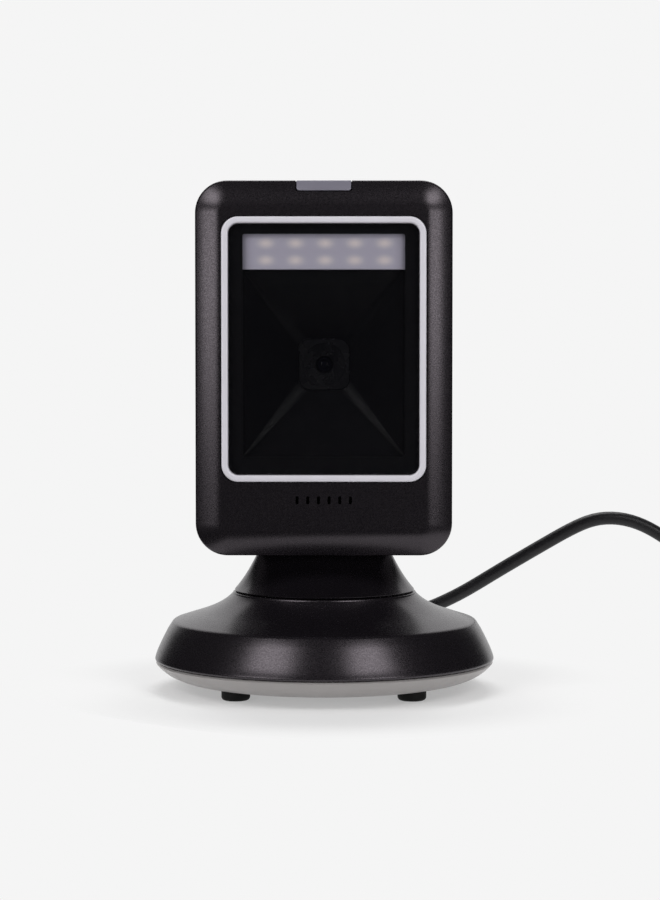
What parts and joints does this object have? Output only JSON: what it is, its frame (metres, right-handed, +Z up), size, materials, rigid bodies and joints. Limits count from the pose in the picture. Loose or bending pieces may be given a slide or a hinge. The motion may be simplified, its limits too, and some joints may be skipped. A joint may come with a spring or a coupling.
{
  "type": "desktop barcode scanner",
  "caption": "Hands-free desktop barcode scanner: a tilting scan head with a framed window, on a swivelling flared neck and a round weighted base, with a USB lead coiled beside it.",
  "frame": {"origin": "on the table under the middle of the round base", "axes": "+Z up; the scan window faces -Y; +X is to the right as seen from the front"},
  "size_m": [0.2482, 0.1487, 0.1527],
  "materials": {
    "black_plastic": "fine satin texture",
    "inner_plastic": "matt",
    "silver_trim": "silver-plated, semi-gloss",
    "silver_paint": "silver paint, satin",
    "clear_pane": "clear, polished",
    "diffuser": "translucent",
    "frosted_light": "frosted, translucent",
    "lens_glass": "coated",
    "circuit_board": "lacquered",
    "steel": "plated",
    "weight_iron": "plain",
    "nylon": "plain",
    "rubber": "matt",
    "cord_jacket": "satin"
  },
  "bodies": {
    "base": {"base_top_cover": "black_plastic", "base_bottom_cover": "silver_paint", "base_weight": "weight_iron", "swivel_washer": "nylon", "rubber_foot_1": "rubber", "rubber_foot_2": "rubber", "rubber_foot_3": "rubber", "rubber_foot_4": "rubber", "base_screw_1": "steel", "base_screw_2": "steel", "base_screw_3": "steel", "inner_cable": "cord_jacket", "cord_strain_relief": "rubber", "usb_cord": "cord_jacket", "usb_cord_coil": "cord_jacket", "coil_tie_1": "rubber", "coil_tie_2": "rubber", "usb_plug_body": "cord_jacket", "usb_plug_shell": "steel", "usb_plug_tongue": "nylon"},
    "neck": {"neck": "black_plastic", "swivel_retainer": "steel", "swivel_screw_1": "steel", "swivel_screw_2": "steel", "swivel_screw_3": "steel"},
    "head": {"front_bezel": "black_plastic", "rear_cover": "black_plastic", "window_ring": "silver_trim", "scan_window": "clear_pane", "window_mask": "inner_plastic", "light_diffuser": "diffuser", "led_board": "circuit_board", "light_baffle": "inner_plastic", "lens_bezel": "inner_plastic", "lens": "lens_glass", "camera_holder": "inner_plastic", "sensor_board": "circuit_board", "main_board": "circuit_board", "buzzer": "inner_plastic", "indicator_light": "frosted_light", "indicator_led_board": "circuit_board", "head_cable": "cord_jacket", "tilt_screw_left": "steel", "tilt_screw_right": "steel", "tilt_friction_washer_left": "nylon", "tilt_friction_washer_right": "nylon", "tilt_spring_washer_left": "steel", "tilt_spring_washer_right": "steel", "head_screw_1": "steel", "head_screw_2": "steel", "head_screw_3": "steel", "head_screw_4": "steel", "board_screw_1": "steel", "board_screw_2": "steel", "board_screw_3": "steel", "board_screw_4": "steel"}
  },
  "joints": [
    {"name": "swivel", "type": "hinge", "parent": "base", "child": "neck", "pos_m": [0, 0, 0.0298], "axis": [0, 0, 1], "range_deg": [-45, 45]},
    {"name": "tilt", "type": "hinge", "parent": "neck", "child": "head", "pos_m": [0, 0, 0.0565], "axis": [1, 0, 0], "range_deg": [-30, 10]}
  ]
}
